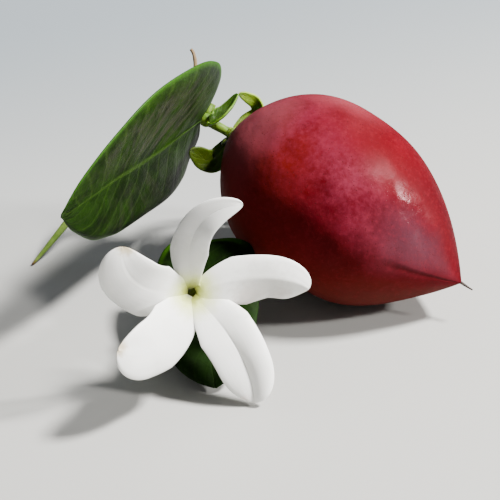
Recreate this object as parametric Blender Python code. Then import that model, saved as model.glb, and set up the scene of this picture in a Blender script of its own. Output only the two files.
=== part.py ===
import math

import bmesh
import bpy
from mathutils import Vector

# Natal plum sprig: a ripe fruit, its twig with thorn and leaves, and an open flower.
# All lengths are in millimetres, with the origin on the small flat spot that the fruit rests on.
MM = 0.001

# Fruit: an ovoid with five soft ridges that meet at the pointed tip
FRUIT_BASE = Vector((-21.15, 13.12, 26.15))
FRUIT_AXIS = Vector((0.8272, -0.4445, -0.358)).normalized()
FRUIT_LENGTH = 51.3
FRUIT_RADIUS = 17.41
FRUIT_WIDEST = 0.4047
FRUIT_SHOULDER = (2.417, 0.658)
FRUIT_TAPER = (2.303, 0.987)
FRUIT_RIDGES = 5
FRUIT_RIDGE_BELLY = 0.006
FRUIT_RIDGE_TIP = 0.04
FRUIT_RIDGE_TURN = 0.9
FRUIT_CROWN = 0.063
FRUIT_CROWN_SPAN = (0.535, 0.894)
FRUIT_CROWN_TURN = 2.09
FRUIT_RINGS = 26
FRUIT_SEGMENTS = 40
STYLE_LENGTH = 1.9
STYLE_RADIUS = 0.3
GAP = 0.3

# Twig: node, cut stub, fruit stalk and the side shoot that carries the flower
NODE = Vector((-26.0, 16.2, 27.3))
NODE_RADIUS = 1.4
STUB_END = Vector((-24.9, 18.4, 29.4))
STUB_RADIUS = 0.85
STALK_RADIUS = 0.85
SHOOT_RADIUS = 0.7
TWIG_SEGMENTS = 12

# Calyx of the fruit
CALYX_OFF_AXIS = 2.9
CALYX_OFF_TURN = 3.9
CALYX_RING_INNER = 1.3
CALYX_RING_OUTER = 1.85
CALYX_RING_DEPTH = 0.5
SEPAL_THICK = 0.6

# Thorn and dry tip
THORN_RADIUS = 1.0
THORN_TIP_RADIUS = 0.22
DRY_RADIUS = 0.42

# Leaves
LEAF_THICK = 0.7
LEAF_STEPS = (26, 8)
SMALL_LEAF_HALF = 2.25
FLOWER_LEAF_STEPS = (18, 6)

# Flower
THROAT = Vector((-27.8, -26.3, 18.2))
FLOWER_AXIS = Vector((0.22, -0.86, 0.46)).normalized()
TUBE_LENGTH = 10.0
TUBE_RADIUS = 1.25
MOUTH_RADIUS = 2.3
MOUTH_HOLE = 0.95
MOUTH_DEPTH = 3.2
PETAL_THICK = 0.7
PETAL_ROOT = 0.95
PETAL_STEPS = (11, 5)


def material(name, colour, rough):
    mat = bpy.data.materials.new(name)
    mat.use_nodes = True
    shader = mat.node_tree.nodes["Principled BSDF"]
    shader.inputs["Base Color"].default_value = (*colour, 1.0)
    shader.inputs["Roughness"].default_value = rough
    shader.inputs["Metallic"].default_value = 0.0
    return mat


def make_object(name, points, faces, mat):
    mesh = bpy.data.meshes.new(name)
    mesh.from_pydata([tuple(p * MM) for p in points], [], faces)
    mesh.update()
    obj = bpy.data.objects.new(name, mesh)
    bpy.context.scene.collection.objects.link(obj)
    if mat is not None:
        mesh.materials.append(mat)
    body = bmesh.new()
    body.from_mesh(mesh)
    bmesh.ops.recalc_face_normals(body, faces=body.faces)
    body.to_mesh(mesh)
    body.free()
    for face in mesh.polygons:
        face.use_smooth = True
    return obj


def through(points):
    """A smooth curve that passes through all the points."""

    def curve(t):
        at = min(t * (len(points) - 1), len(points) - 1.000001)
        i = int(at)
        u = at - i
        p0, p1, p2 = points[max(i - 1, 0)], points[i], points[i + 1]
        p3 = points[min(i + 2, len(points) - 1)]
        bend = (p0 * 2.0 - p1 * 5.0 + p2 * 4.0 - p3) * (u * u) + (p1 * 3.0 - p0 - p2 * 3.0 + p3) * u**3
        return (p1 * 2.0 + (p2 - p0) * u + bend) * 0.5

    return curve


def bezier(control, t):
    if callable(control):
        return control(t)
    points = list(control)
    while len(points) > 1:
        points = [a.lerp(b, t) for a, b in zip(points, points[1:])]
    return points[0]


def tangent(control, t):
    step = 0.002
    return (bezier(control, min(1.0, t + step)) - bezier(control, max(0.0, t - step))).normalized()


def tube(name, control, radius_at, rings, segments, mat):
    """A closed rod along a Bezier curve, with a radius that follows its length."""
    points = []
    side = tangent(control, 0.0).orthogonal().normalized()
    for i in range(rings + 1):
        t = i / rings
        along = tangent(control, t)
        side = (side - along * side.dot(along)).normalized()
        over = along.cross(side)
        centre = bezier(control, t)
        for j in range(segments):
            a = 2.0 * math.pi * j / segments
            points.append(centre + (side * math.cos(a) + over * math.sin(a)) * radius_at(t))
    faces = []
    for i in range(rings):
        for j in range(segments):
            k = (j + 1) % segments
            low, high = i * segments, (i + 1) * segments
            faces.append((low + j, low + k, high + k))
            faces.append((low + j, high + k, high + j))
    points.append(bezier(control, 0.0))
    points.append(bezier(control, 1.0))
    last = rings * segments
    for j in range(segments):
        k = (j + 1) % segments
        faces.append((len(points) - 2, k, j))
        faces.append((len(points) - 1, last + j, last + k))
    return make_object(name, points, faces, mat)


def revolve(name, origin, axis, profile, segments, mat):
    """A closed solid of revolution; profile is a list of (along, radius), both ends on the axis."""
    side = axis.orthogonal().normalized()
    over = axis.cross(side)
    points = [origin + axis * profile[0][0], origin + axis * profile[-1][0]]
    rings = profile[1:-1]
    for along, radius in rings:
        for j in range(segments):
            a = 2.0 * math.pi * j / segments
            points.append(origin + axis * along + (side * math.cos(a) + over * math.sin(a)) * radius)
    faces = []
    for j in range(segments):
        k = (j + 1) % segments
        faces.append((0, 2 + k, 2 + j))
        for i in range(len(rings) - 1):
            low, high = 2 + i * segments, 2 + (i + 1) * segments
            faces.append((low + j, low + k, high + k, high + j))
        last = 2 + (len(rings) - 1) * segments
        faces.append((1, last + j, last + k))
    return make_object(name, points, faces, mat)


def blade(name, control, faces_to, halves, slope_at, steps, thick, mat, margins=None):
    """A leaf or petal: a strip along a curve, its cross-section bent by slope_at(s, v).

    faces_to holds the directions that the blade faces at its root and its end, and halves the
    two half-width functions. A leaf whose halves differ has its two margins as curves instead.
    """
    rows, cols = steps
    sheet = []
    for i in range(rows + 1):
        s = 0.5 - 0.5 * math.cos(math.pi * i / rows)
        along = tangent(control, s)
        face = faces_to[0].lerp(faces_to[1], s)
        face = (face - along * face.dot(along)).normalized()
        side = along.cross(face)
        centre = bezier(control, s)
        row = [centre]
        for sign, number in ((-1, 0), (1, 1)):
            reach = bezier(margins[number], s) - centre if margins else side * (sign * halves[number](s))
            half = reach.length
            out = reach.normalized()
            x, z = 0.0, 0.0
            branch = []
            for j in range(cols):
                v = (j + 0.5) / cols
                angle = slope_at(s, sign * v)
                x += math.cos(angle) * half / cols
                z += math.sin(angle) * half / cols
                branch.append(centre + out * x + face * z)
            row = branch[::-1] + row if sign < 0 else row + branch
        sheet.append(row)
    across = 2 * cols + 1
    points = []
    for offset in (0.5, -0.5):
        for i in range(rows + 1):
            for j in range(across):
                du = sheet[min(i + 1, rows)][j] - sheet[max(i - 1, 0)][j]
                dv = sheet[i][min(j + 1, across - 1)] - sheet[i][max(j - 1, 0)]
                points.append(sheet[i][j] + du.cross(dv).normalized() * (thick * offset))
    count = (rows + 1) * across
    faces = []
    for i in range(rows):
        for j in range(across - 1):
            a, b = i * across + j, i * across + j + 1
            c, d = a + across, b + across
            faces.append((a, b, d))
            faces.append((a, d, c))
            faces.append((count + a, count + d, count + b))
            faces.append((count + a, count + c, count + d))
    rim = [j for j in range(across)]
    rim += [i * across + across - 1 for i in range(1, rows + 1)]
    rim += [rows * across + j for j in range(across - 2, -1, -1)]
    rim += [i * across for i in range(rows - 1, 0, -1)]
    for k, a in enumerate(rim):
        b = rim[(k + 1) % len(rim)]
        faces.append((a, count + a, count + b))
        faces.append((a, count + b, b))
    return make_object(name, points, faces, mat)


def join(obj, others):
    """Unite the other solids into obj and remove them."""
    group = bpy.data.collections.new(obj.name + "_parts")
    bpy.context.scene.collection.children.link(group)
    for other in others:
        bpy.context.scene.collection.objects.unlink(other)
        group.objects.link(other)
    union = obj.modifiers.new("join", "BOOLEAN")
    union.operation = "UNION"
    union.operand_type = "COLLECTION"
    union.collection = group
    union.solver = "MANIFOLD"
    depsgraph = bpy.context.evaluated_depsgraph_get()
    mesh = bpy.data.meshes.new_from_object(obj.evaluated_get(depsgraph))
    obj.modifiers.clear()
    obj.data = mesh
    for other in others:
        bpy.data.objects.remove(other)
    bpy.data.collections.remove(group)
    body = bmesh.new()
    body.from_mesh(mesh)
    bmesh.ops.remove_doubles(body, verts=body.verts, dist=0.000005)
    bmesh.ops.triangulate(body, faces=body.faces)
    body.to_mesh(mesh)
    body.free()
    for face in mesh.polygons:
        face.use_smooth = True


for old in list(bpy.data.objects):
    bpy.data.objects.remove(old)

skin = material("fruit_skin", (0.42, 0.035, 0.03), 0.4)
black = material("style_dry", (0.015, 0.012, 0.01), 0.7)
bark = material("twig_green", (0.22, 0.21, 0.07), 0.6)
sepal = material("sepal_green", (0.07, 0.1, 0.012), 0.5)
spine = material("thorn_green", (0.27, 0.36, 0.11), 0.45)
dry = material("dry_tip_brown", (0.12, 0.075, 0.03), 0.8)
leaf = material("leaf_green", (0.035, 0.06, 0.012), 0.4)
white = material("petal_white", (0.86, 0.86, 0.83), 0.5)

# Fruit
fruit_side = FRUIT_AXIS.cross(Vector((0.0, 0.0, 1.0))).normalized()
fruit_over = fruit_side.cross(FRUIT_AXIS)


def fruit_radius(s):
    if s < FRUIT_WIDEST:
        power, root = FRUIT_SHOULDER
        part = (FRUIT_WIDEST - s) / FRUIT_WIDEST
    else:
        power, root = FRUIT_TAPER
        part = (s - FRUIT_WIDEST) / (1.0 - FRUIT_WIDEST)
    return FRUIT_RADIUS * max(0.0, 1.0 - part**power) ** root


def fruit_point(s, angle):
    ridge = FRUIT_RIDGE_BELLY + (FRUIT_RIDGE_TIP - FRUIT_RIDGE_BELLY) * max(0.0, (s - 0.6) / 0.4)
    radius = fruit_radius(s) * (1.0 + ridge * math.cos(FRUIT_RIDGES * (angle + FRUIT_RIDGE_TURN)))
    part = (s - FRUIT_CROWN_SPAN[0]) / (FRUIT_CROWN_SPAN[1] - FRUIT_CROWN_SPAN[0])
    if 0.0 < part < 1.0:
        radius *= 1.0 + FRUIT_CROWN * math.sin(math.pi * part) * max(0.0, math.sin(angle + FRUIT_CROWN_TURN))
    out = fruit_side * math.cos(angle) + fruit_over * math.sin(angle)
    return FRUIT_BASE + FRUIT_AXIS * (s * FRUIT_LENGTH) + out * radius


fruit_points = [FRUIT_BASE, FRUIT_BASE + FRUIT_AXIS * FRUIT_LENGTH]
for i in range(1, FRUIT_RINGS):
    s = 0.5 - 0.5 * math.cos(math.pi * i / FRUIT_RINGS)
    for j in range(FRUIT_SEGMENTS):
        fruit_points.append(fruit_point(s, 2.0 * math.pi * j / FRUIT_SEGMENTS))
fruit_faces = []
for j in range(FRUIT_SEGMENTS):
    k = (j + 1) % FRUIT_SEGMENTS
    fruit_faces.append((0, 2 + k, 2 + j))
    for i in range(FRUIT_RINGS - 2):
        low, high = 2 + i * FRUIT_SEGMENTS, 2 + (i + 1) * FRUIT_SEGMENTS
        fruit_faces.append((low + j, low + k, high + k))
        fruit_faces.append((low + j, high + k, high + j))
    last = 2 + (FRUIT_RINGS - 2) * FRUIT_SEGMENTS
    fruit_faces.append((1, last + j, last + k))
fruit = make_object("fruit", fruit_points, fruit_faces, skin)
body = bmesh.new()
body.from_mesh(fruit.data)
cut = bmesh.ops.bisect_plane(
    body,
    geom=body.verts[:] + body.edges[:] + body.faces[:],
    plane_co=(0.0, 0.0, 0.0),
    plane_no=(0.0, 0.0, -1.0),
    clear_outer=True,
)
cut_edges = [e for e in cut["geom_cut"] if isinstance(e, bmesh.types.BMEdge)]
bmesh.ops.contextual_create(body, geom=cut_edges)
bmesh.ops.recalc_face_normals(body, faces=body.faces)
body.to_mesh(fruit.data)
body.free()
for face in fruit.data.polygons:
    face.use_smooth = abs(face.normal.z + 1.0) > 0.0001 or len(face.vertices) < 8

# Style remnant at the fruit's tip
tip = FRUIT_BASE + FRUIT_AXIS * (FRUIT_LENGTH + GAP * 0.5)
style_path = (tip, tip + FRUIT_AXIS * 0.9, tip + FRUIT_AXIS * STYLE_LENGTH + Vector((0.3, 0.0, -0.2)))
tube("style_remnant", style_path, lambda t: STYLE_RADIUS * (1.0 - 0.35 * t), 5, 8, black)

# Twig
calyx_shift = fruit_side * math.cos(CALYX_OFF_TURN) + fruit_over * math.sin(CALYX_OFF_TURN)
stem_seat = FRUIT_BASE + calyx_shift * CALYX_OFF_AXIS
stalk_end = stem_seat - FRUIT_AXIS * 0.15
stalk = tube(
    "twig",
    (NODE, stalk_end - FRUIT_AXIS * 2.4, stalk_end),
    lambda t: STALK_RADIUS * (1.25 - 0.25 * math.sin(0.5 * math.pi * t)),
    6,
    TWIG_SEGMENTS,
    bark,
)
knot_axis = (STUB_END - NODE).normalized()
knot = revolve(
    "knot",
    NODE,
    knot_axis,
    [(-NODE_RADIUS, 0.0)]
    + [(-NODE_RADIUS * math.cos(a), NODE_RADIUS * math.sin(a)) for a in (0.6, 1.1, 1.57, 2.0, 2.5)]
    + [(NODE_RADIUS, 0.0)],
    TWIG_SEGMENTS,
    bark,
)
stub = tube(
    "stub",
    (NODE, NODE.lerp(STUB_END, 0.6), STUB_END),
    lambda t: STUB_RADIUS * (1.0 - 0.1 * math.cos(7.0 * t)),
    6,
    TWIG_SEGMENTS,
    bark,
)
shoot_start = NODE.lerp(stalk_end, 0.5)
flower_foot = THROAT - FLOWER_AXIS * (TUBE_LENGTH + 1.0 + 3.2 * GAP)
shoot_points = (
    shoot_start,
    Vector((-21.0, 21.0, 20.5)),
    Vector((-17.5, 22.3, 9.5)),
    Vector((-15.3, 18.5, 1.6)),
    Vector((-14.0, 11.5, 1.25)),
    Vector((-17.5, 2.6, 4.0)),
    Vector((-23.0, -1.2, 6.5)),
    Vector((-26.6, -3.4, 11.3)),
    Vector((-27.5, -6.6, 15.0)),
    Vector((-28.8, -10.5, 14.6)),
    Vector((-30.3, -13.9, 12.7)),
    flower_foot,
)
shoot_radius = lambda t: SHOOT_RADIUS * (1.15 - 0.25 * math.sin(math.pi * t))
shoot = tube("shoot", through(shoot_points), shoot_radius, 44, 8, bark)
join(stalk, [knot, stub, shoot])

# Calyx of the fruit: a ring round the stalk with five lobes
calyx_origin = stem_seat - FRUIT_AXIS * (CALYX_RING_DEPTH + GAP)
ring_profile = (
    (0.0, CALYX_RING_INNER),
    (0.0, CALYX_RING_OUTER),
    (CALYX_RING_DEPTH, CALYX_RING_OUTER),
    (CALYX_RING_DEPTH, CALYX_RING_INNER),
)
ring_points = []
ring_faces = []
ring_steps = 20
for i in range(ring_steps):
    a = 2.0 * math.pi * i / ring_steps
    out = fruit_side * math.cos(a) + fruit_over * math.sin(a)
    for along, radius in ring_profile:
        ring_points.append(calyx_origin + FRUIT_AXIS * along + out * radius)
    nxt = (i + 1) % ring_steps
    for k in range(4):
        m = (k + 1) % 4
        ring_faces.append((i * 4 + k, i * 4 + m, nxt * 4 + m, nxt * 4 + k))
calyx = make_object("fruit_calyx", ring_points, ring_faces, sepal)


def lobe(name, path, faces, half):
    """One calyx lobe: a tongue along a curve that starts inside the ring."""
    width = lambda s: half * min(1.0, 0.3 + 1.8 * s) * max(0.06, 1.0 - s**5) ** 0.7
    cup = lambda s, v: 0.3 * abs(v)
    return blade(name, path, faces, (width, width), cup, (10, 2), SEPAL_THICK, sepal)


def ring_root(angle):
    out = fruit_side * math.cos(angle) + fruit_over * math.sin(angle)
    return calyx_origin + out * (CALYX_RING_OUTER - 0.4) + FRUIT_AXIS * (0.3 * CALYX_RING_DEPTH), out


top_lobe_points = (
    ring_root(2.1)[0],
    Vector((-18.8, 18.3, 26.2)),
    Vector((-16.3, 19.1, 27.2)),
    Vector((-16.6, 19.2, 29.2)),
    Vector((-18.2, 18.6, 30.8)),
    Vector((-19.8, 18.1, 31.9)),
)
under_lobe_points = (
    ring_root(4.6)[0],
    Vector((-22.9, 15.0, 21.5)),
    Vector((-24.4, 13.4, 20.0)),
    Vector((-26.0, 12.0, 20.9)),
    Vector((-27.6, 11.2, 22.6)),
    Vector((-29.0, 10.7, 23.9)),
)
top_lobe_faces = (Vector((-0.5, -0.6, 0.5)), Vector((-0.2, -0.8, 0.55)))
under_lobe_faces = (Vector((-0.3, -0.7, 0.6)), Vector((0.0, -0.8, 0.6)))
lobes = [
    lobe("lobe_top", through(top_lobe_points), top_lobe_faces, 1.35),
    lobe("lobe_under", through(under_lobe_points), under_lobe_faces, 2.35),
]
for number, (angle, reach) in enumerate(((0.84, 1.4), (3.35, 2.4), (5.87, 1.4))):
    root, out = ring_root(angle)
    path = (root, root + out * (0.7 * reach), root + out * reach - FRUIT_AXIS * (0.15 * reach))
    lobes.append(lobe(f"lobe_short_{number}", path, (-FRUIT_AXIS, -FRUIT_AXIS), 0.9))
join(calyx, lobes)

# Thorn: from the node, behind the large leaf, down to the surface
thorn_path = (
    NODE + Vector((-1.6, 2.2, 0.5)),
    Vector((-38.0, 21.5, 25.5)),
    Vector((-48.5, 16.0, 10.5)),
    Vector((-60.0, 6.9, THORN_TIP_RADIUS)),
)
thorn_radius = lambda t: THORN_TIP_RADIUS + (THORN_RADIUS - THORN_TIP_RADIUS) * (1.0 - t**5)
tube("thorn", thorn_path, thorn_radius, 18, 10, spine)

# Dry tip above the large leaf
dry_path = (
    NODE + Vector((-1.6, 1.2, 2.0)),
    Vector((-29.2, 19.6, 32.5)),
    Vector((-27.0, 22.4, 36.2)),
    Vector((-28.9, 23.8, 38.3)),
)
tube("dry_tip", dry_path, lambda t: DRY_RADIUS * (1.15 - 0.4 * t), 10, 8, dry)

# Large leaf: an upright oval blade, rounded at its root, with a rolled margin and a pointed end
leaf_face = Vector((0.83, -0.49, -0.25))
leaf_midrib = (
    Vector((-27.3, 14.5, 28.3)),
    Vector((-31.5, 7.0, 29.0)),
    Vector((-36.6, -1.7, 29.5)),
    Vector((-40.7, -9.3, 31.0)),
    Vector((-45.1, -17.2, 31.9)),
    Vector((-49.2, -24.7, 32.5)),
)
leaf_lower_margin = (
    Vector((-27.3, 14.8, 27.7)),
    Vector((-27.6, 16.6, 23.1)),
    Vector((-29.1, 16.4, 18.7)),
    Vector((-30.5, 16.2, 14.2)),
    Vector((-33.2, 12.9, 12.0)),
    Vector((-37.4, 5.4, 12.9)),
    Vector((-41.4, -2.1, 14.3)),
    Vector((-43.7, -7.1, 16.4)),
    Vector((-45.8, -12.2, 19.2)),
    Vector((-48.2, -19.9, 26.5)),
    Vector((-49.1, -24.5, 32.0)),
)
leaf_upper_margin = (
    Vector((-27.0, 14.8, 28.8)),
    Vector((-24.9, 17.2, 31.0)),
    Vector((-23.1, 17.8, 35.6)),
    Vector((-23.4, 15.1, 40.1)),
    Vector((-26.7, 7.8, 43.6)),
    Vector((-33.7, -5.0, 45.3)),
    Vector((-40.1, -14.3, 42.2)),
    Vector((-45.7, -21.4, 37.8)),
    Vector((-49.1, -24.6, 33.0)),
)
blade(
    "leaf_large",
    through(leaf_midrib),
    (leaf_face, leaf_face),
    None,
    lambda s, v: 0.02 - 1.6 * max(0.0, abs(v) - 0.8),
    LEAF_STEPS,
    LEAF_THICK,
    leaf,
    (through(leaf_lower_margin), through(leaf_upper_margin)),
)

# Small cupped leaf at the node
small_path = through(
    (
        Vector((-25.3, 13.7, 28.7)),
        Vector((-24.2, 13.6, 28.8)),
        Vector((-22.6, 14.3, 29.6)),
        Vector((-21.3, 15.6, 30.5)),
        Vector((-19.9, 16.9, 32.5)),
    )
)
small_width = lambda s: max(0.35, SMALL_LEAF_HALF * math.sin(math.pi * (0.12 + 0.84 * s)) ** 0.8)
small_face = Vector((-0.62, -0.2, 0.62))
blade(
    "leaf_small",
    small_path,
    (small_face, small_face),
    (small_width, small_width),
    lambda s, v: 0.55 * abs(v) + 0.2,
    (9, 3),
    SEPAL_THICK,
    leaf,
)

# Leaf behind the flower: a broad blade hanging from the side shoot, notched round the shoot at
# its root, with its end just above the surface
flower_leaf_face = Vector((0.0, -0.82, 0.57))
flower_leaf_midrib = (
    Vector((-27.4, -8.2, 12.5)),
    Vector((-26.7, -13.8, 10.5)),
    Vector((-25.7, -21.0, 8.1)),
    Vector((-24.7, -27.2, 4.9)),
    Vector((-23.8, -31.3, 1.0)),
)
flower_leaf_left = (
    Vector((-27.8, -8.1, 12.6)),
    Vector((-29.2, -6.5, 14.2)),
    Vector((-31.6, -6.2, 14.4)),
    Vector((-33.9, -8.0, 12.8)),
    Vector((-35.2, -13.8, 10.5)),
    Vector((-34.3, -22.0, 7.7)),
    Vector((-31.3, -28.2, 4.3)),
    Vector((-27.8, -30.6, 2.2)),
    Vector((-24.1, -31.3, 1.0)),
)
flower_leaf_right = (
    Vector((-27.0, -8.1, 12.6)),
    Vector((-25.9, -6.2, 14.4)),
    Vector((-22.8, -5.6, 14.9)),
    Vector((-19.5, -5.8, 14.8)),
    Vector((-17.2, -7.0, 13.7)),
    Vector((-15.9, -11.7, 11.2)),
    Vector((-16.1, -18.0, 9.2)),
    Vector((-17.3, -25.0, 6.7)),
    Vector((-20.1, -29.8, 3.4)),
    Vector((-23.5, -31.3, 1.0)),
)
blade(
    "leaf_flower",
    through(flower_leaf_midrib),
    (flower_leaf_face, flower_leaf_face),
    None,
    lambda s, v: 0.06 - 0.9 * max(0.0, abs(v) - 0.7),
    FLOWER_LEAF_STEPS,
    LEAF_THICK,
    leaf,
    (through(flower_leaf_left), through(flower_leaf_right)),
)

# Corolla: a tube that opens into five sickle-shaped petals
tube_profile = [
    (-TUBE_LENGTH, 0.0),
    (-TUBE_LENGTH, TUBE_RADIUS),
    (-TUBE_LENGTH * 0.5, TUBE_RADIUS * 0.95),
    (-2.2, TUBE_RADIUS * 1.15),
    (-0.6, MOUTH_RADIUS * 0.8),
    (0.2, MOUTH_RADIUS),
    (0.6, MOUTH_RADIUS * 0.8),
    (-0.4, MOUTH_HOLE),
    (-MOUTH_DEPTH, MOUTH_HOLE * 0.7),
    (-MOUTH_DEPTH, 0.0),
]
corolla = revolve("corolla", THROAT, FLOWER_AXIS, tube_profile, 20, white)
PETALS = (
    # end point, sideways bulge, forward bulge, half width, share of it lost toward the end
    (Vector((-18.9, -25.4, 35.6)), 4.7, 0.8, 3.9, 0.42),
    (Vector((-7.5, -24.5, 18.3)), 2.3, 1.2, 4.1, 0.0),
    (Vector((-17.0, -35.0, 0.9)), 2.0, 1.6, 5.1, 0.05),
    (Vector((-39.3, -41.5, 17.6)), 3.2, 0.6, 5.1, 0.1),
    (Vector((-38.5, -33.5, 32.6)), 3.5, 0.6, 5.4, 0.08),
)
petals = []
for number, (end, bulge, rise, half, narrowing) in enumerate(PETALS):
    chord = end - THROAT
    radial = (chord - FLOWER_AXIS * chord.dot(FLOWER_AXIS)).normalized()
    turn = FLOWER_AXIS.cross(radial)
    start = THROAT + radial * PETAL_ROOT
    path = (
        start,
        start + chord * 0.28 + turn * (bulge * 1.1) + FLOWER_AXIS * rise,
        start + chord * 0.72 + turn * (bulge * 1.5) + FLOWER_AXIS * rise,
        end,
    )
    face = (FLOWER_AXIS - chord * (FLOWER_AXIS.dot(chord) / chord.length_squared)).normalized()

    def petal_half(s, half=half, narrowing=narrowing):
        rise_part = min(1.0, 0.3 + 2.6 * s - 1.6 * s * s)
        end_part = max(0.0, 1.0 - max(0.0, (s - 0.6) / 0.4) ** 2.2)
        return max(0.25, half * (1.0 - narrowing * s) * rise_part * end_part**0.5)

    petals.append(
        blade(
            f"petal_{number}",
            path,
            ((FLOWER_AXIS + turn * 0.15).normalized(), face),
            (petal_half, petal_half),
            lambda s, v: 0.25 * v - 0.9 * max(0.0, -v - 0.7),
            PETAL_STEPS,
            PETAL_THICK,
            white,
        )
    )
join(corolla, petals)

# Calyx of the flower: five small green lobes round the foot of the tube
foot = THROAT - FLOWER_AXIS * (TUBE_LENGTH + GAP)
flower_calyx = revolve(
    "flower_calyx",
    foot,
    FLOWER_AXIS,
    [(-1.0, 0.0), (-1.0, 0.9), (-0.5, 1.3), (0.0, 1.35), (0.0, 0.0)],
    14,
    sepal,
)
side = FLOWER_AXIS.orthogonal().normalized()
over = FLOWER_AXIS.cross(side)
small_lobes = []
for number in range(5):
    a = 2.0 * math.pi * (number + 0.4) / 5
    out = side * math.cos(a) + over * math.sin(a)
    root = foot - FLOWER_AXIS * 0.5 + out * 0.9
    path = (root, root + out * 1.2 + FLOWER_AXIS * 0.8, root + out * 1.3 + FLOWER_AXIS * 2.6)
    width = lambda s: max(0.15, 0.75 * (1.0 - s**2))
    flat = lambda s, v: 0.0
    small_lobes.append(
        blade(f"small_lobe_{number}", path, (-out, -out), (width, width), flat, (4, 1), SEPAL_THICK, sepal)
    )
join(flower_calyx, small_lobes)
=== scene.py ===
import math

import bmesh
import bpy
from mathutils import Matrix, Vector, noise


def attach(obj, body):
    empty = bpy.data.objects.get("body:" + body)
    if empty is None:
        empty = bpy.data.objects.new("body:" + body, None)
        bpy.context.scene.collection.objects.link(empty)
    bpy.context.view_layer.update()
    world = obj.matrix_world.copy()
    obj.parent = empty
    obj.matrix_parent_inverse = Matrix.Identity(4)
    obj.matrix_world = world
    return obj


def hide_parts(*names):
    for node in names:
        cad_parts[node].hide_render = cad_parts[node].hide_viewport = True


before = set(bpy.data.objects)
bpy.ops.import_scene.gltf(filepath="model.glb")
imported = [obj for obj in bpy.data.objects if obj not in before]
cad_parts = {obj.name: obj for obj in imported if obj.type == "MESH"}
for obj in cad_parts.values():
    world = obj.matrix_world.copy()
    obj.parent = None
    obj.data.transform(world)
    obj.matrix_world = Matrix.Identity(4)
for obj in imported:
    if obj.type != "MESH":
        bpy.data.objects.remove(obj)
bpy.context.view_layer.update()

# Fruit: a ripe ovoid berry with five soft ridges that meet at its pointed tip, one fleshy body
# that lies on a small flat spot. Its form follows a rule, so Geometry Nodes build its skin.
MM = 0.001
FRUIT_BASE = Vector((-21.15, 13.12, 26.15))
FRUIT_AXIS = Vector((0.8272, -0.4445, -0.358)).normalized()
FRUIT_LENGTH = 51.3
fruit_side = FRUIT_AXIS.cross(Vector((0.0, 0.0, 1.0))).normalized()
fruit_over = fruit_side.cross(FRUIT_AXIS)


def calc(tree, operation, *values, clamp=False):
    """A Math node whose inputs are numbers or other nodes' outputs."""
    node = tree.nodes.new("ShaderNodeMath")
    node.operation = operation
    node.use_clamp = clamp
    for socket, value in zip(node.inputs, values):
        if isinstance(value, bpy.types.NodeSocket):
            tree.links.new(value, socket)
        else:
            socket.default_value = value
    return node.outputs[0]


def times(tree, first, second):
    return calc(tree, "MULTIPLY", first, second)


def vec(tree, operation, *values):
    """A Vector Math node; the last value of a SCALE is its factor."""
    node = tree.nodes.new("ShaderNodeVectorMath")
    node.operation = operation
    sockets = [node.inputs[0], node.inputs["Scale"]] if operation == "SCALE" else list(node.inputs)
    for socket, value in zip(sockets, values):
        if isinstance(value, bpy.types.NodeSocket):
            tree.links.new(value, socket)
        else:
            socket.default_value = value
    scalar = operation in ("DOT_PRODUCT", "LENGTH", "DISTANCE")
    return node.outputs["Value"] if scalar else node.outputs["Vector"]


def split(tree, vector):
    """The three parts of a vector output."""
    node = tree.nodes.new("ShaderNodeSeparateXYZ")
    tree.links.new(vector, node.inputs[0])
    return node.outputs


def geometry_tree(name, sizes, has_input=False):
    """A Geometry Nodes tree with named number inputs, its input node and its output node."""
    tree = bpy.data.node_groups.new(name, "GeometryNodeTree")
    if has_input:
        tree.interface.new_socket("Geometry", in_out="INPUT", socket_type="NodeSocketGeometry")
    for label, value in sizes.items():
        kind = "NodeSocketInt" if isinstance(value, int) else "NodeSocketFloat"
        tree.interface.new_socket(label, in_out="INPUT", socket_type=kind)
    tree.interface.new_socket("Material", in_out="INPUT", socket_type="NodeSocketMaterial")
    tree.interface.new_socket("Geometry", in_out="OUTPUT", socket_type="NodeSocketGeometry")
    return tree, tree.nodes.new("NodeGroupInput"), tree.nodes.new("NodeGroupOutput")


def after(tree, kind, geometry):
    """A new node that takes a geometry in."""
    node = tree.nodes.new(kind)
    tree.links.new(geometry, node.inputs["Geometry"])
    return node


def end_tree(tree, geometry, material, result):
    """Realize the instances, set the material and hand the geometry to the tree's output."""
    real = after(tree, "GeometryNodeRealizeInstances", geometry)
    coat = after(tree, "GeometryNodeSetMaterial", real.outputs["Geometry"])
    tree.links.new(material, coat.inputs["Material"])
    tree.links.new(coat.outputs["Geometry"], result.inputs["Geometry"])


def build_by_nodes(name, tree, sizes, material, start_mesh=None):
    """Run a Geometry Nodes tree on a mesh and keep the result as a plain mesh object."""
    holder = bpy.data.objects.new(name, start_mesh or bpy.data.meshes.new(name + "_start"))
    bpy.context.scene.collection.objects.link(holder)
    run = holder.modifiers.new("build", "NODES")
    run.node_group = tree
    labels = {s.name: s.identifier for s in tree.interface.items_tree if s.in_out == "INPUT"}
    for label, value in sizes.items():
        run[labels[label]] = value
    run[labels["Material"]] = material
    depsgraph = bpy.context.evaluated_depsgraph_get()
    mesh = bpy.data.meshes.new_from_object(holder.evaluated_get(depsgraph))
    holder.modifiers.clear()
    holder.data = mesh
    mesh.name = name
    return holder


def hand_over(obj, slot_name, *nodes):
    """Fix a finished piece to the sprig's one body, in place of its CAD nodes."""
    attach(obj, "root")
    if nodes:
        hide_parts(*nodes)
    return obj


def dial(node, **values):
    """Set a node's constant inputs; an underscore in a name stands for a space."""
    for label, value in values.items():
        node.inputs[label.replace("_", " ")].default_value = value


def new_material(name):
    mat = bpy.data.materials.new(name)
    mat.use_nodes = True
    return mat, mat.node_tree, mat.node_tree.nodes["Principled BSDF"]


def object_point(tree):
    """Object coordinates in millimetres."""
    source = tree.nodes.new("ShaderNodeTexCoord").outputs["Object"]
    return vec(tree, "SCALE", source, 1000.0)


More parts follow.
